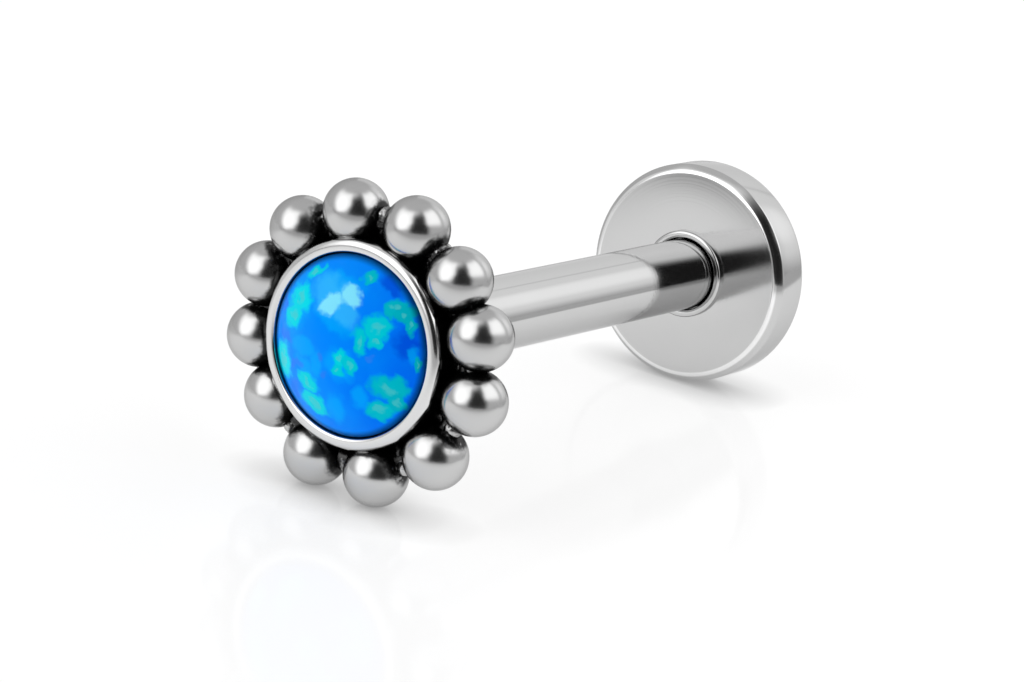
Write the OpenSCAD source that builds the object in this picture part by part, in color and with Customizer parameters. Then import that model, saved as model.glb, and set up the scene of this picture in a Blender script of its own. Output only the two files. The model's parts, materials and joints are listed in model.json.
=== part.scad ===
// Labret stud, 1.2 mm post, with a round opal in a beaded setting.
// It lies on its side as it rests on a table: two neighbouring beads and the rim of the back disc
// touch the floor, so the post slopes down a little towards the disc.
// Each piece is drawn along its own axis: Z runs from the head to the back disc, Z = 0 is the plane
// of the bead centres, and Y points to the floor. laid() then turns the piece to where it rests.

/* [Beads] */
// Number of beads round the head
bead_count = 12; // [10:2:14]
// Diameter of a bead
bead_d = 1.01; // [0.96:0.01:1.02]
// Diameter of the circle through the bead centres
bead_ring_d = 3.96; // [3.96:0.02:4.1]
// Thickness of the cast ring that joins the beads behind their fronts
web_d = 0.44; // [0.3:0.02:0.5]
// Diameter of the circle through the middle of that ring
web_ring_d = 3.76; // [3.6:0.02:3.8]
// How far the middle of that ring lies behind the bead centres
web_back = 0.08; // [0:0.02:0.12]

/* [Bezel cup] */
// Outer diameter of the cup's wall
bezel_d = 3.17; // [3.1:0.01:3.2]
// Thickness of the cup's wall
bezel_wall = 0.18; // [0.15:0.005:0.185]
// Thickness of the rounded rim, a little more than the wall
rim_d = 0.205; // [0.195:0.005:0.22]
// Height of the rim above the plane of the bead centres
rim_front = 0.45; // [0.4:0.01:0.5]

/* [Back plate of the head] */
// Diameter of the plate
plate_d = 3.4; // [3.2:0.05:3.6]
// Front of the plate, behind the bead centres
plate_front = 0.14; // [0.1:0.01:0.2]
// Back of the plate, behind the bead centres
plate_back = 0.6; // [0.5:0.05:0.7]
// Bevel round the back edge of the plate
plate_bevel = 0.1; // [0.05:0.01:0.15]

/* [Opal] */
// Diameter of the stone
opal_d = 2.72; // [2.6:0.01:2.73]
// Height of the stone's straight side
opal_side = 0.38; // [0.3:0.01:0.4]
// Height of the dome above the straight side
opal_dome = 0.42; // [0.3:0.02:0.5]

/* [Post and pin] */
// Diameter of the post, 16 gauge
post_d = 1.2; // [1.0:0.1:1.2]
// Distance from the bead centres to the front of the back disc
reach = 9.25; // [6:0.25:12]
// Bevel round the post's head end
post_bevel = 0.05; // [0.02:0.01:0.1]
// Diameter of the hidden pin between head and post
pin_d = 0.7; // [0.5:0.05:0.75]
// Length of the pin inside the post
pin_in_post = 2.4; // [1.5:0.1:3]

/* [Back disc] */
// Diameter of the disc
disc_d = 3.74; // [3.5:0.02:4]
// Thickness of the disc
disc_t = 0.85; // [0.7:0.05:1]
// Bevel round the front edge
disc_bevel = 0.13; // [0.08:0.01:0.25]
// Radius of the rounded back edge
disc_back_round = 0.12; // [0.08:0.01:0.2]
// Outer diameter of the raised lip round the post
lip_d = 1.49; // [1.42:0.01:1.49]
// Height of the lip above the disc
lip_h = 0.1; // [0.09:0.01:0.12]
// Depth of the post's seat in the disc
post_seat = 0.35; // [0.2:0.05:0.5]

/* [Hidden] */
// Gap between pieces that meet face to face
gap = 0.02;
// Gap round the post in the lip and its seat, which shows as a dark seam
seam = 0.025;
// Depth of the pin in the head
pin_in_head = plate_back - 0.2;
bead_r = bead_d / 2;
bead_ring_r = bead_ring_d / 2;
bezel_r = bezel_d / 2;
cup_r = bezel_r - bezel_wall;
opal_r = opal_d / 2;
disc_r = disc_d / 2;
disc_back = reach + disc_t;
seat_r = post_d / 2 + seam;
lip_w = lip_d / 2 - seat_r;
pin_bore_d = pin_d + 2 * gap;
// Ball that the dome is cut from, and the height of its centre
dome_r = (opal_r * opal_r + opal_dome * opal_dome) / (2 * opal_dome);
dome_z = dome_r - gap - opal_side - opal_dome;
// Steps in a quarter turn of a rounded edge
round_steps = 6;
// The floor touches two bead balls and the rounded back edge of the disc. Seen from the side,
// their centres lie contact_r and edge_r from the axis, and contact_z apart along it.
contact_r = bead_ring_r * cos(180 / bead_count);
edge_r = disc_r - disc_back_round;
contact_z = disc_back - disc_back_round;
slope = atan2(contact_r - edge_r, contact_z)
    + asin((bead_r - disc_back_round) / norm([contact_r - edge_r, contact_z]));
// Lift that puts the beads on the floor, and shift that centres the stud along Y
lift = contact_r * cos(slope) + bead_r;
y_head = dome_z * cos(slope) - dome_r;
y_disc = edge_r * sin(slope) + contact_z * cos(slope) + disc_back_round;
shift = -(y_head + y_disc) / 2;
// Length by which cutting shapes run past the surface that they cut
over = 0.5;
$fn = 64;

// Turns a piece from its own axis to where it rests on the floor
module laid() {
    translate([0, shift, lift]) rotate([-90 - slope, 0, 0]) children();
}

// Cylinder from one height to another
module bar(d, from, to) {
    translate([0, 0, from]) cylinder(d = d, h = to - from);
}

// Ring of round section, with its middle at height z and its seam inside a bead
module ring(ring_d, wire_d, z) {
    rotate([0, 0, 180 / bead_count])
        rotate_extrude() translate([ring_d / 2, z]) circle(d = wire_d);
}

// Cast head: bezel cup, beads, the ring that joins them and the back plate are one solid
module setting() {
    color("silver") laid() difference() {
        union() {
            bar(bezel_d, rim_d / 2 - rim_front, plate_back - plate_bevel);
            ring(cup_r * 2 + bezel_wall, rim_d, rim_d / 2 - rim_front);
            bar(plate_d, plate_front, plate_back - plate_bevel);
            translate([0, 0, plate_back - plate_bevel])
                cylinder(d1 = plate_d, d2 = plate_d - 2 * plate_bevel, h = plate_bevel);
            ring(web_ring_d, web_d, web_back);
            for (k = [0:bead_count - 1])
                rotate([0, 0, 90 + (k + 0.5) * 360 / bead_count])
                    translate([bead_ring_r, 0, 0]) sphere(d = bead_d);
        }
        bar(cup_r * 2, rim_d / 2 - rim_front, 0);
        bar(pin_bore_d, plate_back - pin_in_head, plate_back + over);
    }
}

// Domed stone, seated on the floor of the cup
module opal() {
    color("dodgerblue") laid() intersection() {
        bar(opal_d, -gap - opal_side - opal_dome - over, -gap);
        translate([0, 0, dome_z]) sphere(r = dome_r);
    }
}

// Plain pin, half in the head and half in the post
module head_pin() {
    color("gray") laid() bar(pin_d, plate_back - pin_in_head + gap, plate_back + gap + pin_in_post);
}

// Straight post with a blind bore for the pin and a bevelled head end
module post() {
    front = plate_back + gap;
    color("silver") laid() difference() {
        union() {
            translate([0, 0, front])
                cylinder(d1 = post_d - 2 * post_bevel, d2 = post_d, h = post_bevel);
            bar(post_d, front + post_bevel, reach + post_seat - gap);
        }
        bar(pin_bore_d, front - over, front + pin_in_post + gap);
    }
}

// Points along an arc of radius r round [x, z], from one angle to another
function arc(x, z, r, from, to, steps) =
    [for (i = [0:steps]) let (a = from + (to - from) * i / steps) [x + r * cos(a), z + r * sin(a)]];

// Outline of half the back disc: seat for the post, lip with a round top, bevelled front edge and
// rounded back edge
function disc_outline() = concat(
    [[0, post_seat], [seat_r, post_seat]],
    arc(seat_r + lip_w / 2, lip_w / 2 - lip_h, lip_w / 2, 180, 360, round_steps * 2),
    [[lip_d / 2, 0], [disc_r - disc_bevel, 0], [disc_r, disc_bevel]],
    arc(edge_r, disc_t - disc_back_round, disc_back_round, 0, 90, round_steps),
    [[0, disc_t]]
);

// Round back with a raised lip and a blind seat for the post
module back_disc() {
    color("silver") laid() translate([0, 0, reach]) rotate_extrude() polygon(disc_outline());
}

setting();
opal();
head_pin();
post();
back_disc();
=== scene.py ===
import json
import math
import random

import bmesh
import bpy
from mathutils import Matrix, Quaternion, Vector
from mathutils.bvhtree import BVHTree


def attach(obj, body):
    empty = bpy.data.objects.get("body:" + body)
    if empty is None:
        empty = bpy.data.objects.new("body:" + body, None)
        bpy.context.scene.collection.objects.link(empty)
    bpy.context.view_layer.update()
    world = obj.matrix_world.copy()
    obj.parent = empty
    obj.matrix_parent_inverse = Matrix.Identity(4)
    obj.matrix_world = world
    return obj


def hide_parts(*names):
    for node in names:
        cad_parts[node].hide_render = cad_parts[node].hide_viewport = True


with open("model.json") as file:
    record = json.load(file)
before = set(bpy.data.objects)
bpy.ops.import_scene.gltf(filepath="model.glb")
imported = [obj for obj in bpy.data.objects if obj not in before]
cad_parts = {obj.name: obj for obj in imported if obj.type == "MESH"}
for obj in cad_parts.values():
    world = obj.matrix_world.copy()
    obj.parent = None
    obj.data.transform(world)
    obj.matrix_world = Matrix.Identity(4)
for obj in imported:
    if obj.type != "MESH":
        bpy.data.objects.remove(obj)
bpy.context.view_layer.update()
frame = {"nodes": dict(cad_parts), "record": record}
mm = 0.001

# The stud is modelled along its own axis: z = 0 is the plane of the bead centres, z grows towards
# the disc, and y points to the floor. layDown then turns a finished piece to where the stud rests.
discFace = next(mount for mount in frame["record"]["mounts"] if mount["name"] == "disc_face")
studAxis = Vector(discFace["axis"])
slope = math.atan2(-studAxis.z, studAxis.y)
outerFace = 10.10  # mm from the bead centres to the disc's outer face
studStart = Vector(discFace["pos_m"]) - studAxis * outerFace * mm
studTurn = (-math.pi / 2 - slope, 0.0, 0.0)
layDown = Matrix.Translation(studStart) @ Matrix.Rotation(studTurn[0], 4, "X")

# Camera at the photograph's angle, in mm and degrees
shot = {
    "place": (28.291, -45.623, 18.335),
    "aim": (-0.209, -0.301, 1.543),
    "roll": 7.79,
    "lens": 123.05,
    "sensor": 36,
    "near": 1,
    "far": 10000,
}


def setCamera():
    eye = bpy.data.objects.new("camera", bpy.data.cameras.new("camera"))
    bpy.context.scene.collection.objects.link(eye)
    place = Vector(shot["place"]) * mm
    look = Vector(shot["aim"]) * mm - place
    turn = look.to_track_quat("-Z", "Y") @ Quaternion((0, 0, 1), math.radians(shot["roll"]))
    eye.matrix_world = Matrix.Translation(place) @ turn.to_matrix().to_4x4()
    eye.data.lens = shot["lens"]
    eye.data.sensor_width = shot["sensor"]
    eye.data.clip_start = shot["near"] * mm
    eye.data.clip_end = shot["far"] * mm
    bpy.context.scene.camera = eye
    return eye


eye = setCamera()
print("camera set")


# A socket of a node tree. Arithmetic on it adds Math nodes, and node() adds any other node.
class Wire:
    def __init__(self, tree, socket=None):
        self.tree = tree
        self.socket = socket

    def node(self, kind, settings=None, inputs=None, out=0):
        fresh = self.tree.nodes.new(kind)
        for name, value in (settings or {}).items():
            setattr(fresh, name, value)
        for name, value in (inputs or {}).items():
            if isinstance(value, Wire):
                self.tree.links.new(value.socket, fresh.inputs[name])
            else:
                fresh.inputs[name].default_value = value
        return Wire(self.tree, fresh.outputs[out] if len(fresh.outputs) else None)

    def maths(self, operation, first, second=0.0):
        return self.node("ShaderNodeMath", {"operation": operation}, {0: first, 1: second})

    def vector(self, operation, first, second=(0, 0, 0), out="Vector"):
        inputs = {0: first, 1: second}
        return self.node("ShaderNodeVectorMath", {"operation": operation}, inputs, out=out)

    def __add__(self, other):
        return self.maths("ADD", self, other)

    def __radd__(self, other):
        return self.maths("ADD", other, self)

    def __sub__(self, other):
        return self.maths("SUBTRACT", self, other)

    def __rsub__(self, other):
        return self.maths("SUBTRACT", other, self)

    def __mul__(self, other):
        return self.maths("MULTIPLY", self, other)

    def __rmul__(self, other):
        return self.maths("MULTIPLY", other, self)

    def __truediv__(self, other):
        return self.maths("DIVIDE", self, other)


def smooth(value, low, high):  # 0 at low, 1 at high, eased; low may be the larger one
    inputs = {"Value": value, "From Min": low, "From Max": high}
    return value.node("ShaderNodeMapRange", {"interpolation_type": "SMOOTHSTEP"}, inputs)


def window(value, ends, eases):  # 1 between the two ends, 0 outside, eased at each end
    rise = smooth(value, ends[0] - eases[0], ends[0] + eases[0])
    return rise * smooth(value, ends[1] + eases[1], ends[1] - eases[1])


def mixed(mask, low, high):  # the colour low where the mask is 0, high where it is 1
    return mask.node("ShaderNodeMix", {"data_type": "RGBA"}, {0: mask, 6: low, 7: high}, out=2)


def shade(colour):  # a constant colour with its alpha
    return (*colour, 1.0)


def grey(tone):
    return shade((tone, tone, tone))


def noise(place, scale, detail=2.0, roughness=0.5, out="Fac"):
    inputs = {"Vector": place, "Scale": scale, "Detail": detail, "Roughness": roughness}
    return place.node("ShaderNodeTexNoise", None, inputs, out=out)


def newMaterial(name):
    material = bpy.data.materials.new(name)
    material.use_nodes = True
    material.node_tree.nodes.clear()
    return material, Wire(material.node_tree)


def studSpot(start):  # the stud's own coordinates, in mm
    spot = start.node("ShaderNodeTexCoord", out="Object")
    inputs = {"Vector": spot, "Location": studStart, "Rotation": studTurn, "Scale": (mm, mm, mm)}
    return start.node("ShaderNodeMapping", {"vector_type": "TEXTURE"}, inputs)


def coordinate(spot, axis):
    return spot.node("ShaderNodeSeparateXYZ", None, {0: spot}, out=axis)


def flattened(spot):  # the spot without its height along the stud's axis
    return spot.vector("MULTIPLY", spot, (1, 1, 0))


def fromAxis(spot):  # distance from the stud's axis, in mm
    return spot.vector("LENGTH", flattened(spot), out="Value")


# Studio light, as directions seen from the camera: degrees to its right and above its level,
# with 0 straight back to the camera. Brightness 1 is the white of the paper floor.
studio = {
    "boxes": (
        {
            "across": (-66, -20),
            "ease": (9, 7),
            "flare": 0.024,  # share by which a box widens for each degree up
            "up": (-2, 58),
            "upEase": (5, 9),
            "bright": 1.95,
        },
        {
            "across": (36, 93),
            "ease": (8, 9),
            "flare": 0.0,
            "up": (10, 55),
            "upEase": (9, 9),
            "bright": 1.92,
        },
    ),
    "heart": {"across": -52, "up": 22, "reach": 30, "more": 0.30},  # middle of the first box
    "front": 0.72,
    "left": 0.74,  # left and right of the stud, and behind it
    "right": 1.20,
    "turn": (98, 112),  # where front goes over into left and right
    "rightUp": (44, 62),  # where the light on the right fades again, going up
    "ceiling": {"from": (55, 65), "bright": 0.76},
    "dark": {
        "across": (-14, 31),
        "ease": (9, 7),
        "up": (28, 74),
        "bright": 0.03,
        "low": (22, 0),  # going down between these heights, it widens
        "wider": 0.50,  # by this share
    },
    "wall": {"across": (104, 150), "ease": (4, 12), "up": (-4, 13), "bright": 0.45},
    "glow": {"across": 117, "up": 27, "reach": 15, "more": 0.30},
    "gap": {"across": (140, 143), "ease": (1, 1), "bright": 0.80},
}


def buildStudio():
    world = bpy.data.worlds.new("studio")
    bpy.context.scene.world = world
    world.use_nodes = True
    world.node_tree.nodes.clear()
    start = Wire(world.node_tree)
    direction = start.node("ShaderNodeTexCoord", out="Generated")
    turn = eye.matrix_world.to_3x3()
    right, level, back = (
        start.vector("DOT_PRODUCT", direction, turn.col[axis], out="Value") for axis in range(3)
    )
    aside = start.maths("ARCTAN2", right, back) * math.degrees(1)
    above = start.maths("ARCSINE", level) * math.degrees(1)

    def pool(lamp):  # a round pool of more light
        across = (aside - lamp["across"]) / lamp["reach"]
        up = (above - lamp["up"]) / lamp["reach"]
        return smooth(across * across + up * up, 1.0, 0.0) * lamp["more"]

    toLeft = smooth(aside * -1, *studio["turn"])
    toRight = smooth(aside, *studio["turn"]) * smooth(above, *reversed(studio["rightUp"]))
    light = toLeft * (studio["left"] - studio["front"]) + studio["front"]
    light = light + toRight * (studio["right"] - studio["front"])
    ceiling = studio["ceiling"]
    high = smooth(above, *ceiling["from"])
    light = light * (1 - high) + high * ceiling["bright"]
    wall = studio["wall"]
    shadow = window(aside, wall["across"], wall["ease"]) * smooth(above, *reversed(wall["up"]))
    light = light * (1 - shadow * (1 - wall["bright"])) + pool(studio["glow"])
    gap = studio["gap"]
    light = light * (1 - window(aside, gap["across"], gap["ease"]) * (1 - gap["bright"]))
    for box in studio["boxes"]:
        middle = sum(box["across"]) / 2
        spread = (aside - middle) / (above * box["flare"] + 1) + middle
        inside = window(spread, box["across"], box["ease"])
        inside = inside * window(above, box["up"], box["upEase"])
        light = light * (1 - inside) + inside * box["bright"]
    light = light + pool(studio["heart"])
    dark = studio["dark"]
    middle = sum(dark["across"]) / 2
    spread = (aside - middle) / (smooth(above, *dark["low"]) * dark["wider"] + 1) + middle
    hollow = window(spread, dark["across"], dark["ease"]) * smooth(above, *reversed(dark["up"]))
    light = light * (1 - hollow * (1 - dark["bright"]))
    seen = start.node("ShaderNodeLightPath", out="Is Camera Ray")
    light = light * (1 - seen) + seen
    sky = start.node("ShaderNodeBackground", None, {"Color": grey(1), "Strength": light})
    start.node("ShaderNodeOutputWorld", None, {"Surface": sky})
    bpy.context.scene.view_settings.view_transform = "Standard"


# White paper, in mm. The camera sees it evenly lit, and what the steel mirrors of it is dimmer to
# the left, towards the camera and, behind the stud, to the far right
floorSheet = {
    "half": 400,
    "shown": {"tone": 0.28, "glow": 0.735},
    "mirrored": {"tone": 0.62, "glow": 0.54},
    "contact": {"reach": 0.9, "shown": 0.60, "mirrored": 0.22},  # soft shade close to the stud
    "gloss": {"share": 0.05, "roughness": 0.10},
    "left": {"way": (-1, 0.35, 0), "from": 5, "to": 14, "less": 0.30},
    "front": {"from": 6, "to": 25, "less": 0.50},
    "right": {"way": (1, 0, 0), "from": 9.9, "to": 10.7, "less": 0.45, "behind": (8, 12)},
}


def layFloor():
    bpy.ops.object.select_all(action="DESELECT")
    bpy.ops.mesh.primitive_plane_add(size=2 * floorSheet["half"] * mm, location=(0, 0, 0))
    sheet = bpy.context.object
    sheet.name = "paperFloor"
    material, start = newMaterial("paper")
    spot = start.node("ShaderNodeTexCoord", out="Object")

    def along(way):  # mm from the stud in one direction
        return start.vector("DOT_PRODUCT", spot, way, out="Value") / mm

    def dimmed(way, part):  # how much of the sheet's light is left in one direction
        return 1 - smooth(along(way), part["from"], part["to"]) * part["less"]

    def paper(light, look):  # matt, with a glow of its own, under this share of its light
        tone = mixed(light, grey(0), grey(look["tone"]))
        matt = start.node("ShaderNodeBsdfDiffuse", None, {"Color": tone})
        glow = start.node("ShaderNodeEmission", None, {"Strength": light * look["glow"]})
        return start.node("ShaderNodeAddShader", None, {0: matt, 1: glow})

    left, front, right = (floorSheet[part] for part in ("left", "front", "right"))
    toEye = Vector((shot["place"][0], shot["place"][1], 0)).normalized()
    lit = dimmed(left["way"], left) * dimmed(toEye, front)
    behind = smooth(along((0, 1, 0)), *right["behind"])
    lit = lit * (1 - behind * (1 - dimmed(right["way"], right)))
    contact = floorSheet["contact"]
    inputs = {"Distance": contact["reach"] * mm}
    near = 1 - start.node("ShaderNodeAmbientOcclusion", None, inputs, out="AO")
    mirrored = paper(lit * (1 - near * contact["mirrored"]), floorSheet["mirrored"])
    shown = paper(1 - near * contact["shown"], floorSheet["shown"])
    gloss = floorSheet["gloss"]
    inputs = {"Color": grey(1), "Roughness": gloss["roughness"]}
    glossy = start.node("ShaderNodeBsdfAnisotropic", None, inputs)
    shown = start.node("ShaderNodeMixShader", None, {0: gloss["share"], 1: shown, 2: glossy})
    seen = start.node("ShaderNodeLightPath", out="Is Camera Ray")
    surface = start.node("ShaderNodeMixShader", None, {0: seen, 1: mirrored, 2: shown})
    start.node("ShaderNodeOutputMaterial", None, {"Surface": surface})
    sheet.data.materials.append(material)


buildStudio()
layFloor()
print("studio light and floor")


# Modelling helpers, with sizes in mm
def editing(piece):
    bpy.ops.object.select_all(action="DESELECT")
    piece.select_set(True)
    bpy.context.view_layer.objects.active = piece
    bpy.ops.object.mode_set(mode="EDIT")


def doneEditing():
    bpy.ops.object.mode_set(mode="OBJECT")


def pick(kind, test):  # selects the faces or edges that pass the test, and nothing else
    bpy.ops.mesh.select_mode(type=kind)
    bpy.ops.mesh.select_all(action="DESELECT")
    piece = bpy.context.edit_object
    mesh = bmesh.from_edit_mesh(piece.data)
    for part in (mesh.faces if kind == "FACE" else mesh.edges):
        part.select_set(test(part))
    mesh.select_flush_mode()
    bmesh.update_edit_mesh(piece.data)


def ringAt(radius, height, slack=0.004):  # test for the edges of one ring
    def test(edge):
        for vertex in edge.verts:
            if abs(math.hypot(vertex.co.x, vertex.co.y) - radius * mm) > slack * mm:
                return False
            if abs(vertex.co.z - height * mm) > slack * mm:
                return False
        return True
    return test


def flatFace(height, facing, slack=0.004, square=0.9):  # test for the flat faces at one height
    def test(face):
        level = abs(face.calc_center_median().z - height * mm) < slack * mm
        return level and face.normal.z * facing > square
    return test


def roundOff(radius, height, size, segments):
    pick("EDGE", ringAt(radius, height))
    bpy.ops.mesh.bevel(offset=size * mm, segments=segments, affect="EDGES", clamp_overlap=True)


def extrude(move):  # the selected faces, by so many mm along the axis
    bpy.ops.mesh.extrude_region_move(TRANSFORM_OT_translate={"value": (0, 0, move * mm)})


def pushFace(height, facing, inset, move):  # insets a flat round face and moves the inner part
    pick("FACE", flatFace(height, facing))
    bpy.ops.mesh.inset(thickness=inset * mm, depth=0)
    extrude(move)


def rod(name, radius, front, back, sides=192):
    bpy.ops.object.select_all(action="DESELECT")
    place = (0, 0, (front + back) / 2 * mm)
    bpy.ops.mesh.primitive_cylinder_add(
        vertices=sides, radius=radius * mm, depth=(back - front) * mm, location=place
    )
    piece = bpy.context.object
    piece.name = name
    bpy.ops.object.transform_apply(location=True, rotation=True, scale=True)
    return piece


def finish(piece, node, material, angle=35):
    bpy.ops.object.select_all(action="DESELECT")
    piece.select_set(True)
    bpy.context.view_layer.objects.active = piece
    piece.matrix_world = layDown @ piece.matrix_world
    bpy.ops.object.transform_apply(location=True, rotation=True, scale=True)
    bpy.ops.object.shade_smooth_by_angle(angle=math.radians(angle))
    piece.data.materials.clear()
    piece.data.materials.append(material)
    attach(piece, "root")
    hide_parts(node)
    return piece


def steelSurface(start, look, colour, rough, bumps):
    bump = start.node("ShaderNodeBump", None, {"Height": bumps, **look["bump"]})
    inputs = {
        "Base Color": colour,
        "Metallic": 1.0,
        "Roughness": rough,
        "Specular Tint": grey(look["edge"]),
        "Normal": bump,
    }
    metal = start.node("ShaderNodeBsdfPrincipled", None, inputs)
    start.node("ShaderNodeOutputMaterial", None, {"Surface": metal})


# Finish of the cast head, in mm. The noises are in turns per mm
castFinish = {
    "steel": 0.49,
    "edge": 0.62,  # reflection at a grazing angle, against that of clean metal
    "rimSteel": 0.62,
    "oxide": 0.042,
    "worn": 0.30,  # oxide that is rubbed through
    "roughness": 0.20,
    "grain": {"scale": 5.0, "detail": 4.0, "roughness": 0.6},
    "fine": {"scale": 30.0, "detail": 3.0},
    "patchy": {"scale": 13.0},
    "oxideFrom": (0.17, 0.37),  # share of the sky that a spot loses before its oxide stays on
    "ragged": {"grain": 0.28, "fine": 0.03},  # how much the noises move the oxide's edge
    "rimRadius": (1.635, 1.615),  # inside this radius, and in front of this height, is the rim
    "rimFront": (-0.285, -0.335),
    "crestRadius": ((1.88, 2.14), (0.05, 0.05)),  # ends and eases of the necks' rubbed crests
    "crestHeight": ((-0.20, -0.09), (0.03, 0.03)),
    "rubbedAndHighlight": {"from": (0.60, 0.80), "grain": 0.4, "crest": 0.14},
    "uneven": {"grain": 0.05, "oxide": 0.06, "rim": 0.06},  # changes of the roughness
    "bumps": {"grain": 0.4, "fine": 0.12, "oxide": 0.8},
    "bump": {"Strength": 0.10, "Distance": 0.02 * mm},
}


def castSteel():
    # Oxidised all over, then polished: the black stays where markHollows() finds little sky
    material, start = newMaterial("castSteel")
    spot = studSpot(start)
    height = coordinate(spot, "Z")
    radius = fromAxis(spot)
    hollow = start.node("ShaderNodeAttribute", {"attribute_name": "hollow"}, out="Fac")
    grain = noise(spot, **castFinish["grain"])
    fine = noise(spot, **castFinish["fine"])
    patchy = noise(spot, **castFinish["patchy"])
    rim = smooth(radius, *castFinish["rimRadius"]) * smooth(height, *castFinish["rimFront"])
    ragged = castFinish["ragged"]
    lost = hollow + (grain - 0.5) * ragged["grain"] + (fine - 0.5) * ragged["fine"]
    oxide = smooth(lost, *castFinish["oxideFrom"]) * (1 - rim)
    crest = window(radius, *castFinish["crestRadius"])
    crest = crest * window(height, *castFinish["crestHeight"])
    rubbedAndHighlight = castFinish["rubbedAndHighlight"]
    glint = patchy + (grain - 0.5) * rubbedAndHighlight["grain"] + crest * rubbedAndHighlight["crest"]
    glint = smooth(glint, *rubbedAndHighlight["from"])
    black = mixed(glint, grey(castFinish["oxide"]), grey(castFinish["worn"]))
    bare = mixed(rim, grey(castFinish["steel"]), grey(castFinish["rimSteel"]))
    colour = mixed(oxide, bare, black)
    uneven = castFinish["uneven"]
    rough = castFinish["roughness"] + (grain - 0.5) * uneven["grain"]
    rough = rough + oxide * uneven["oxide"] - rim * uneven["rim"]
    high = castFinish["bumps"]
    bumps = grain * high["grain"] + fine * high["fine"] + oxide * fine * high["oxide"]
    steelSurface(start, castFinish, colour, rough, bumps)
    return material


# Finish of post, pin and disc, in mm. The noises are in turns per mm
polishFinish = {
    "steel": 0.52,
    "cloudy": 0.02,  # share by which the steel's tone wanders
    "edge": 0.70,  # reflection at a grazing angle, against that of clean metal
    "along": {"roughness": 0.08, "marks": {"scale": 1.0, "detail": 3.0}},
    "around": {"roughness": 0.11, "marks": {"scale": 24.0, "detail": 3.0}},
    "stretch": (0.25, 0.25, 26.0),  # makes rings round the post of the marks "along"
    "cloud": {"scale": 1.6, "detail": 3.0},
    "uneven": {"marks": 0.05, "cloud": 0.03},  # changes of the roughness
    "bump": {"Strength": 0.04, "Distance": 0.01 * mm},
    "rubbedAndHighlight": 0.80,  # painted highlight: a ring of brighter steel round the disc's inner edge, seen as a white line
    "highlightFrom": (1.70, 1.73),  # radius where the ring of painted highlight starts, and where it ends
    "highlightTo": (1.77, 1.80),
    "highlightDeep": (0.12, 0.06),  # and how far behind the disc's front
}


def polishedSteel(name, lathe):
    # The lathe's marks vary "along" the post, or they are rings "around" it on the disc's face
    material, start = newMaterial(name)
    spot = studSpot(start)
    cloud = noise(spot, **polishFinish["cloud"])
    steel, cloudy = polishFinish["steel"], polishFinish["cloudy"]
    tint = mixed(cloud, grey(steel * (1 - cloudy)), grey(steel * (1 + cloudy)))
    if lathe == "along":
        inputs = {"Vector": spot, "Scale": polishFinish["stretch"]}
        place = start.node("ShaderNodeMapping", None, inputs)
    else:
        radius = fromAxis(spot)
        height = coordinate(spot, "Z")
        place = start.node("ShaderNodeCombineXYZ", None, {"X": radius, "Z": height})
        # painted highlight: a ring of brighter steel on the disc's inner edge
        ring = smooth(radius, *polishFinish["highlightFrom"])
        ring = ring * smooth(radius, *reversed(polishFinish["highlightTo"]))
        ring = ring * smooth(height, *(disc["front"] + deep for deep in polishFinish["highlightDeep"]))
        tint = mixed(ring, tint, grey(polishFinish["rubbedAndHighlight"]))
    marks = noise(place, **polishFinish[lathe]["marks"])
    uneven = polishFinish["uneven"]
    rough = polishFinish[lathe]["roughness"] + (marks - 0.5) * uneven["marks"]
    rough = rough + (cloud - 0.5) * uneven["cloud"]
    steelSurface(start, polishFinish, tint, rough, marks)
    return material


# Finish of the stone, in mm. The noises are in turns per mm
opalFinish = {
    # blue is the ground under painted shade, on the stone's right; sky is the ground on its left
    "blue": (0.0, 0.14, 0.92),
    "sky": (0.0, 0.245, 0.96),
    "azure": (0.0, 0.36, 0.96),
    # light: partly the stone's own lighter colour, partly a painted highlight of the first lamp
    "light": (0.03, 0.46, 0.96),
    "deep": (0.0, 0.07, 0.72),
    "violet": (0.02, 0.20, 0.88),
    "turquoise": (0.0, 0.68, 0.76),
    "teal": (0.0, 0.45, 0.51),
    "core": (0.08, 0.56, 0.54),
    # pale: the flakes in the painted highlight, partly the stone's own colour
    "pale": (0.24, 0.80, 0.96),
    "shade": (0.0, 0.03, 0.10),  # under the cup's rim
    "gloss": (0.10, 0.60, 1.0),  # tint of the stone's own reflection
    "refraction": 1.15,
    "roughness": 0.05,
    "edge": (1.265, 1.375),  # radius where the shade under the rim starts, and where it is full
    "wander": {"scale": 5.0, "by": 0.26},  # bends the outlines of patches and flakes
    "cloud": {"scale": 1.8, "detail": 3.0},
    "speck": {"scale": 14.0},
    "shadeToRight": {"across": 0.8, "cloud": 1.6, "from": (-0.5, 1.5)},  # painted shade: from sky on the left to the darker blue on the right
    # Where a layer starts and is full, as shares of an oval's half width, how much of it covers
    # what lies below, and how much the noises fray it
    "patch": {"from": (1.45, 0.55), "cover": 0.80},
    "flake": {"from": (1.38, 0.74), "cover": 0.94, "speck": 0.30},
    "tealFlake": {"from": (1.6, 0.9)},
    "flakeCore": {"from": (0.55, 0.15), "cover": 0.6, "speck": 0.5, "cloud": 0.8},
    "paleFlake": {"from": (1.35, 0.70), "cover": 0.85, "speck": 0.3},
    "rimShade": 0.85,
}
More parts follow.
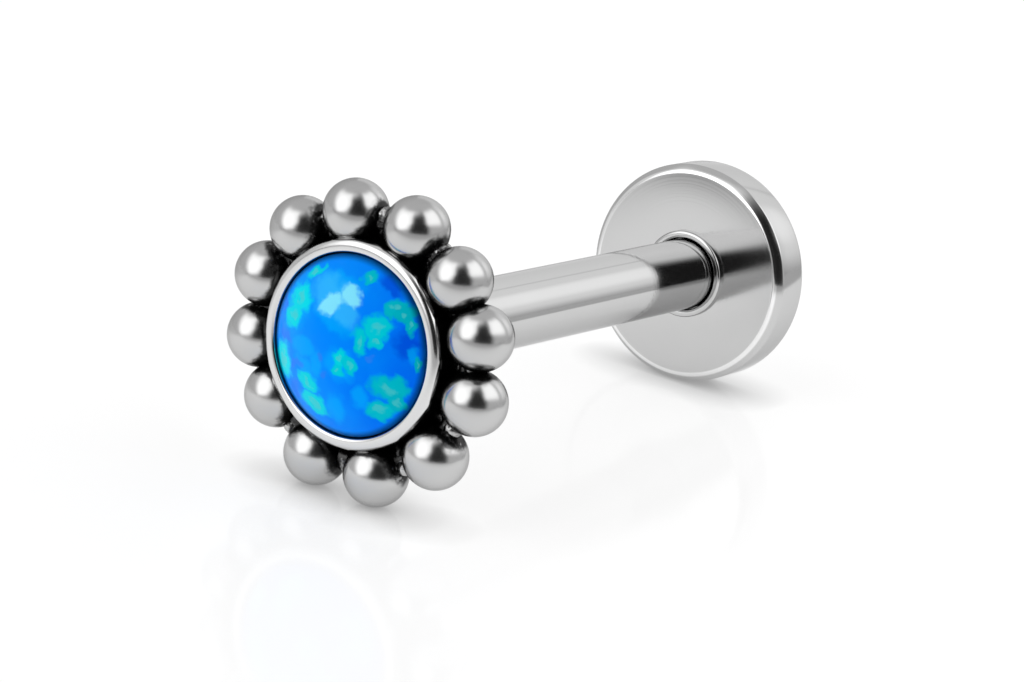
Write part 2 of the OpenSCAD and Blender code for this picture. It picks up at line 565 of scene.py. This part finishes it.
# The stone's patches of colour, seen from the front: mm right of and below the stone's middle,
# half the width and height, and the turn in degrees
patches = {
    "deep": (
        (1.09, -0.34, 0.17, 0.22, 0),
        (0.62, -1.08, 0.22, 0.10, 30),
    ),
    "azure": (
        (-0.63, 0.14, 0.30, 0.14, 5),
        (-0.31, 0.33, 0.13, 0.22, 0),
        (-0.10, -0.40, 0.42, 0.13, 12),
        (0.49, 0.60, 0.13, 0.17, 20),
        (0.09, 0.90, 0.15, 0.22, 0),
        (-0.15, -0.95, 0.40, 0.14, 0),
        (-0.55, 0.42, 0.20, 0.12, 30),
        (0.12, 0.22, 0.26, 0.22, 0),
        (-0.90, -0.40, 0.28, 0.42, 8),
        (1.21, -0.20, 0.08, 0.14, 0),
    ),
    # the stone's lighter patches, which are partly a painted highlight of the first lamp on the
    # dome
    "light": (
        (-0.36, -0.74, 0.30, 0.24, 24),
        (0.06, -0.60, 0.26, 0.17, 30),
        (-0.02, -0.80, 0.24, 0.16, 10),
    ),
    "violet": (
        (-0.24, 0.19, 0.07, 0.06, 0),
        (-1.23, -0.34, 0.07, 0.12, 0),
        (-1.06, 0.11, 0.15, 0.08, 20),
        (-0.77, 0.89, 0.14, 0.12, 40),
        (-0.74, 0.43, 0.13, 0.07, -20),
        (-0.14, 0.47, 0.05, 0.07, 0),
        (0.62, -0.02, 0.07, 0.05, 0),
    ),
}
# Flakes are the same, with how far each goes from turquoise to teal
flakes = (
    (-0.87, -0.53, 0.22, 0.18, 8, 0.0),
    (-0.94, -0.26, 0.18, 0.19, 10, 0.1),
    (-0.76, -0.94, 0.17, 0.08, -40, 0.3),
    (0.61, -0.48, 0.20, 0.19, 0, 0.4),
    (0.64, -0.29, 0.10, 0.10, 0, 0.4),
    (0.40, -0.23, 0.11, 0.20, -14, 0.5),
    (0.80, -0.79, 0.15, 0.13, 0, 0.9),
    (0.95, -0.75, 0.14, 0.12, 0, 1.0),
    (1.06, -0.62, 0.08, 0.14, -22, 0.9),
    (0.23, -1.13, 0.11, 0.07, 0, 0.8),
    (0.13, 0.13, 0.09, 0.15, -8, 0.2),
    (0.31, 0.17, 0.13, 0.09, 10, 0.5),
    (0.10, 0.31, 0.10, 0.08, 0, 0.4),
    (-1.09, 0.49, 0.20, 0.26, -12, 0.0),
    (-0.48, 0.66, 0.21, 0.12, 10, 0.2),
    (-0.34, 0.97, 0.25, 0.14, 14, 0.2),
    (0.94, 0.36, 0.26, 0.18, 0, 0.8),
    (1.03, 0.56, 0.13, 0.16, 0, 0.9),
    (0.80, 0.75, 0.21, 0.13, -14, 0.7),
    (1.30, -0.07, 0.04, 0.12, 0, 1.0),
)
flakesInHighlight = (  # in the light patch: partly pale flakes, partly a painted highlight
    (-0.23, -0.63, 0.21, 0.13, -32),
    (0.08, -0.82, 0.20, 0.14, 22),
)


def opalStuff():
    material, start = newMaterial("opalStone")
    spot = studSpot(start)
    bend = opalFinish["wander"]
    wander = start.vector("SUBTRACT", noise(spot, bend["scale"], out="Color"), (0.5, 0.5, 0.5))
    wander = start.vector("MULTIPLY", wander, (bend["by"], bend["by"], 0))
    bent = start.vector("ADD", flattened(spot), wander)
    cloud = noise(spot, **opalFinish["cloud"])
    speck = noise(spot, **opalFinish["speck"])

    def away(oval):  # 1 on the oval's edge, 0 at its middle
        x, y, wide, high, turn = oval[:5]
        inputs = {
            "Vector": bent,
            "Location": (x, y, 0),
            "Rotation": (0, 0, math.radians(turn)),
            "Scale": (wide, high, 1),
        }
        local = start.node("ShaderNodeMapping", {"vector_type": "TEXTURE"}, inputs)
        return start.vector("LENGTH", local, out="Value")

    def nearest(ovals):
        found = away(ovals[0])
        for oval in ovals[1:]:
            found = start.maths("MINIMUM", found, away(oval))
        return found

    def laid(layer, distance, below, colour):  # one layer of colour over what lies below
        frayed = distance + (speck - 0.5) * layer["speck"] if "speck" in layer else distance
        return mixed(smooth(frayed, *layer["from"]) * layer["cover"], below, colour)

    # painted shade: the stone's ground darkens from left to right
    slant = opalFinish["shadeToRight"]
    shadedToRight = coordinate(spot, "X") * slant["across"] + (cloud - 0.5) * slant["cloud"]
    shadedToRight = smooth(shadedToRight, *slant["from"])
    ground = mixed(shadedToRight, shade(opalFinish["sky"]), shade(opalFinish["blue"]))
    # the light patches are partly a painted highlight
    for tone in ("deep", "azure", "light", "violet"):
        patch = shade(opalFinish[tone])
        ground = laid(opalFinish["patch"], nearest(patches[tone]), ground, patch)
    teal = None
    for *oval, toTeal in flakes:
        own = smooth(away(oval), *opalFinish["tealFlake"]["from"]) * toTeal
        teal = own if teal is None else start.maths("MAXIMUM", teal, own)
    flakeColour = mixed(teal, shade(opalFinish["turquoise"]), shade(opalFinish["teal"]))
    closest = nearest(flakes)
    core = opalFinish["flakeCore"]
    inner = closest + (cloud - 0.5) * core["cloud"]
    flakeColour = laid(core, inner, flakeColour, shade(opalFinish["core"]))
    colour = laid(opalFinish["flake"], closest, ground, flakeColour)
    # painted highlight: pale flakes in the light patch, partly the stone's own colour
    pale = shade(opalFinish["pale"])
    colour = laid(opalFinish["paleFlake"], nearest(flakesInHighlight), colour, pale)
    rim = smooth(fromAxis(spot), *opalFinish["edge"])
    colour = mixed(rim * opalFinish["rimShade"], colour, shade(opalFinish["shade"]))
    inputs = {
        "Base Color": colour,
        "Roughness": opalFinish["roughness"],
        "IOR": opalFinish["refraction"],
        "Specular Tint": shade(opalFinish["gloss"]),
    }
    glass = start.node("ShaderNodeBsdfPrincipled", None, inputs)
    start.node("ShaderNodeOutputMaterial", None, {"Surface": glass})
    return material


# Cup that holds the stone: a thin wall with a rounded rim. Sizes in mm
cup = {
    "wall": 1.585,
    "rim": 1.597,
    "rimDeep": 0.19,  # how far back the rim is thicker than the wall
    "rimStep": 0.02,  # over which the wall widens to the rim
    "front": -0.45,
    "inside": 1.395,
    "back": 0.16,
    "floor": 0.0,
    "outerRound": 0.11,
    "innerSlope": 0.05,
}


def makeCup(material):
    neck = cup["front"] + cup["rimDeep"]
    piece = rod("bezelCup", cup["wall"], neck, cup["back"])
    editing(piece)
    pick("FACE", flatFace(neck, -1))
    grow = cup["rim"] / cup["wall"]
    extrude(-cup["rimStep"])
    bpy.ops.transform.resize(value=(grow, grow, 1))
    extrude(cup["front"] - neck + cup["rimStep"])
    pushFace(cup["front"], -1, cup["rim"] - cup["inside"], cup["floor"] - cup["front"])
    roundOff(cup["rim"], cup["front"], cup["outerRound"], segments=8)
    roundOff(cup["inside"], cup["front"], cup["innerSlope"], segments=3)
    doneEditing()
    return finish(piece, "setting", material)


# Beads: one is modelled, with a foot towards the plate, and copied round the ring
beads = {
    "count": 12,
    "radius": 0.505,
    "footWay": (-0.8, 0, 0.6),  # inwards and back
    "footSpread": 0.86,  # cosine of the foot's half angle
    "footLong": 0.06,
    "footTaper": 0.9,
    "smaller": 0.006,  # share by which a bead may be smaller
    "seed": 7,
    # The cast ring is a little uneven: degrees that a bead is off its even place, and its distance
    # from the axis
    "set": (
        (2.0, 2.00), (4.5, 1.93), (2.5, 2.00), (0.0, 2.04), (-1.5, 2.00), (-1.0, 1.96),
        (2.0, 1.99), (2.0, 2.00), (-2.5, 2.08), (-5.5, 2.09), (-4.0, 2.04), (-1.0, 1.99),
    ),
}


def beadTurn(number):  # degrees round the axis
    return 90 + (number + 0.5) * 360 / beads["count"] + beads["set"][number][0]


def makeBeads(material):
    bpy.ops.object.select_all(action="DESELECT")
    bpy.ops.mesh.primitive_uv_sphere_add(segments=64, ring_count=32, radius=beads["radius"] * mm)
    first = bpy.context.object
    footWay = Vector(beads["footWay"])
    editing(first)
    pick("FACE", lambda face: face.normal.dot(footWay) > beads["footSpread"])
    bpy.ops.mesh.extrude_region_move(
        TRANSFORM_OT_translate={"value": footWay * beads["footLong"] * mm}
    )
    bpy.ops.transform.resize(value=(beads["footTaper"],) * 3)
    doneEditing()
    dice = random.Random(beads["seed"])
    pieces = []
    for number in range(beads["count"]):
        bead = first.copy()
        bead.data = first.data.copy()
        bead.name = f"bead_{number + 1:02d}"
        bpy.context.scene.collection.objects.link(bead)
        grow = 1 - dice.random() * beads["smaller"]
        fromMiddle = beads["set"][number][1]
        bead.matrix_world = (
            Matrix.Rotation(math.radians(beadTurn(number)), 4, "Z")
            @ Matrix.Translation((fromMiddle * mm, 0, 0))
            @ Matrix.Scale(grow, 4)
        )
        pieces.append(finish(bead, "setting", material, angle=60))
    bpy.data.objects.remove(first)
    return pieces


# Cast web that joins the beads: a ring, with necks between the beads and low ridges from there to
# the cup, which are flattened balls
web = {
    "ring": 1.86,
    "thick": 0.22,
    "behind": 0.10,
    "neck": {"at": (1.95, 0.01), "half": (0.15, 0.16, 0.16)},
    "ridge": {"at": (1.74, 0.02), "half": (0.20, 0.09, 0.12)},
    "grain": 0.13,  # width of the cast surface's lumps
    "octaves": 3,  # finer and finer lumps on them
    "rough": 0.027,  # and their height, in and out
}


def makeWeb(material):
    bpy.ops.object.select_all(action="DESELECT")
    bpy.ops.mesh.primitive_torus_add(
        major_radius=web["ring"] * mm,
        minor_radius=web["thick"] * mm,
        major_segments=288,
        minor_segments=40,
        location=(0, 0, web["behind"] * mm),
    )
    piece = bpy.context.object
    piece.name = "castWeb"
    lumps = []
    for number in range(beads["count"]):
        # The 360 is a known fault. It lays the neck and ridge of bead_12 and bead_01 over those of
        # bead_06 and bead_07, on the other side of the head. Without it their place is right
        before = beadTurn(number - 1) - (360 if number == 0 else 0)
        turn = math.radians((before + beadTurn(number)) / 2)
        for kind in ("neck", "ridge"):
            lump = web[kind]
            out, back = lump["at"]
            bpy.ops.mesh.primitive_uv_sphere_add(segments=40, ring_count=24, radius=mm)
            ball = bpy.context.object
            ball.matrix_world = (
                Matrix.Rotation(turn, 4, "Z")
                @ Matrix.Translation((out * mm, 0, back * mm))
                @ Matrix.Diagonal((*lump["half"], 1))
            )
            lumps.append(ball)
    bpy.ops.object.select_all(action="DESELECT")
    for ball in lumps:
        ball.select_set(True)
    piece.select_set(True)
    bpy.context.view_layer.objects.active = piece
    bpy.ops.object.join()
    bpy.ops.object.transform_apply(location=True, rotation=True, scale=True)
    grain = bpy.data.textures.new("castGrain", "CLOUDS")
    grain.noise_scale = web["grain"] * mm
    grain.noise_depth = web["octaves"]
    rough = piece.modifiers.new("castGrain", "DISPLACE")
    rough.texture = grain
    rough.texture_coords = "LOCAL"
    rough.strength = web["rough"] * 2 * mm
    rough.mid_level = 0.5
    bpy.ops.object.modifier_apply(modifier=rough.name)
    return finish(piece, "setting", material, angle=80)


# Plate behind the cup, with a bore for the pin
plate = {"radius": 1.70, "front": 0.17, "back": 0.60, "bevel": 0.10, "bore": 0.37, "boreDeep": 0.40}


def makePlate(material):
    piece = rod("backPlate", plate["radius"], plate["front"], plate["back"])
    editing(piece)
    pushFace(plate["back"], 1, plate["radius"] - plate["bore"], -plate["boreDeep"])
    roundOff(plate["radius"], plate["back"], plate["bevel"], segments=5)
    doneEditing()
    return finish(piece, "setting", material)


# Domed stone with a short straight side
stone = {"radius": 1.375, "side": 0.38, "dome": 0.42, "lift": 0.02, "softEdge": 0.02}


def makeStone(material):
    radius = stone["radius"]
    ball = (radius * radius + stone["dome"] ** 2) / (2 * stone["dome"])  # that the dome is cut from
    girdle = -stone["lift"] - stone["side"]
    bpy.ops.object.select_all(action="DESELECT")
    centre = (0, 0, (girdle - stone["dome"] + ball) * mm)
    bpy.ops.mesh.primitive_uv_sphere_add(
        segments=192, ring_count=192, radius=ball * mm, location=centre
    )
    piece = bpy.context.object
    piece.name = "opalCabochon"
    bpy.ops.object.transform_apply(location=True, rotation=True, scale=True)
    editing(piece)
    bpy.ops.mesh.select_all(action="SELECT")
    bpy.ops.mesh.bisect(
        plane_co=(0, 0, girdle * mm),
        plane_no=(0, 0, 1),
        use_fill=True,
        clear_outer=True,
        threshold=1e-8,
    )
    pick("FACE", flatFace(girdle, 1))
    extrude(stone["side"])
    roundOff(radius, girdle, stone["softEdge"], segments=3)
    roundOff(radius, -stone["lift"], stone["softEdge"], segments=2)
    doneEditing()
    return finish(piece, "opal", material, angle=50)


# Share of the sky that each corner of the head's mesh loses to the metal round it, as an attribute.
# Each corner sends out rays of one length, in mm, from a little way clear of its surface
hollows = {"rays": 48, "reach": 1.2, "clear": 0.012}


def markHollows(pieces, alsoInTheWay):
    corners = []
    faces = []
    for piece in (*pieces, *alsoInTheWay):
        first = len(corners)
        corners.extend(vertex.co / mm for vertex in piece.data.vertices)
        faces.extend([first + corner for corner in face.vertices] for face in piece.data.polygons)
    metal = BVHTree.FromPolygons(corners, faces)
    fan = []
    for number in range(hollows["rays"]):
        rise = math.sqrt(1 - (number + 0.5) / hollows["rays"])
        turn = number * math.pi * (3 - math.sqrt(5))  # by the golden angle each
        flat = math.sqrt(1 - rise * rise)
        fan.append(Vector((flat * math.cos(turn), flat * math.sin(turn), rise)))
    up = Vector((0, 0, 1))
    for piece in pieces:
        lost = piece.data.attributes.new("hollow", "FLOAT", "POINT")
        for vertex in piece.data.vertices:
            lean = up.rotation_difference(vertex.normal)
            start = vertex.co / mm + vertex.normal * hollows["clear"]
            met = sum(
                metal.ray_cast(start, lean @ ray, hollows["reach"])[0] is not None for ray in fan
            )
            lost.data[vertex.index].value = met / hollows["rays"]


# Post, bored for the pin at the head end. Sizes in mm
stem = {
    "radius": 0.60,
    "front": 0.62,
    "back": 9.58,
    "bevel": 0.05,
    "hold": 0.08,  # a loop this far in keeps the bevel's shading off the long side
    "bore": 0.37,
    "boreDeep": 2.42,
}


def makeStem(material):
    piece = rod("stem", stem["radius"], stem["front"], stem["back"], sides=160)
    editing(piece)
    pushFace(stem["front"], -1, stem["radius"] - stem["bore"], stem["boreDeep"])
    roundOff(stem["radius"], stem["front"], stem["bevel"], segments=3)
    bpy.ops.mesh.select_all(action="SELECT")
    loop = (0, 0, (stem["front"] + stem["hold"]) * mm)
    bpy.ops.mesh.bisect(plane_co=loop, plane_no=(0, 0, 1), threshold=1e-8)
    doneEditing()
    return finish(piece, "post", material)


# Flat round back with a raised lip and a seat for the post. Sizes in mm
disc = {
    "radius": 1.87,
    "front": 9.25,
    "back": outerFace,
    "bevel": 0.12,
    "bevelInner": 0.035,  # softening of the bevel's two corners
    "bevelOuter": 0.015,
    "backRound": 0.12,
    "lip": 0.745,
    "lipHigh": 0.10,
    "lipRound": 0.05,
    "seat": 0.618,
    "seatDeep": 0.35,
}


def makeDisc(material):
    piece = rod("flatBack", disc["radius"], disc["front"], disc["back"], sides=256)
    editing(piece)
    pushFace(disc["front"], -1, disc["radius"] - disc["lip"], -disc["lipHigh"])
    top = disc["front"] - disc["lipHigh"]
    pushFace(top, -1, disc["lip"] - disc["seat"], disc["lipHigh"] + disc["seatDeep"])
    roundOff(disc["radius"], disc["front"], disc["bevel"], segments=1)
    roundOff(disc["radius"] - disc["bevel"], disc["front"], disc["bevelInner"], segments=5)
    roundOff(disc["radius"], disc["front"] + disc["bevel"], disc["bevelOuter"], segments=3)
    roundOff(disc["radius"], disc["back"], disc["backRound"], segments=8)
    roundOff(disc["lip"], top, disc["lipRound"], segments=5)
    roundOff(disc["seat"], top, disc["lipRound"], segments=5)
    doneEditing()
    return finish(piece, "back_disc", material)


cast = castSteel()
head = [makeCup(cast), *makeBeads(cast), makeWeb(cast), makePlate(cast)]
print("head: cup, beads, web and plate")
cabochon = makeStone(opalStuff())
markHollows(head, [cabochon])
print("opal, and the hollows of the head")
makeStem(polishedSteel("turnedPost", "along"))
makeDisc(polishedSteel("turnedDisc", "around"))
print("post and flat back")
pin = frame["nodes"]["head_pin"]
pin.data.materials.clear()
pin.data.materials.append(polishedSteel("pinSteel", "along"))
print("pin finished")
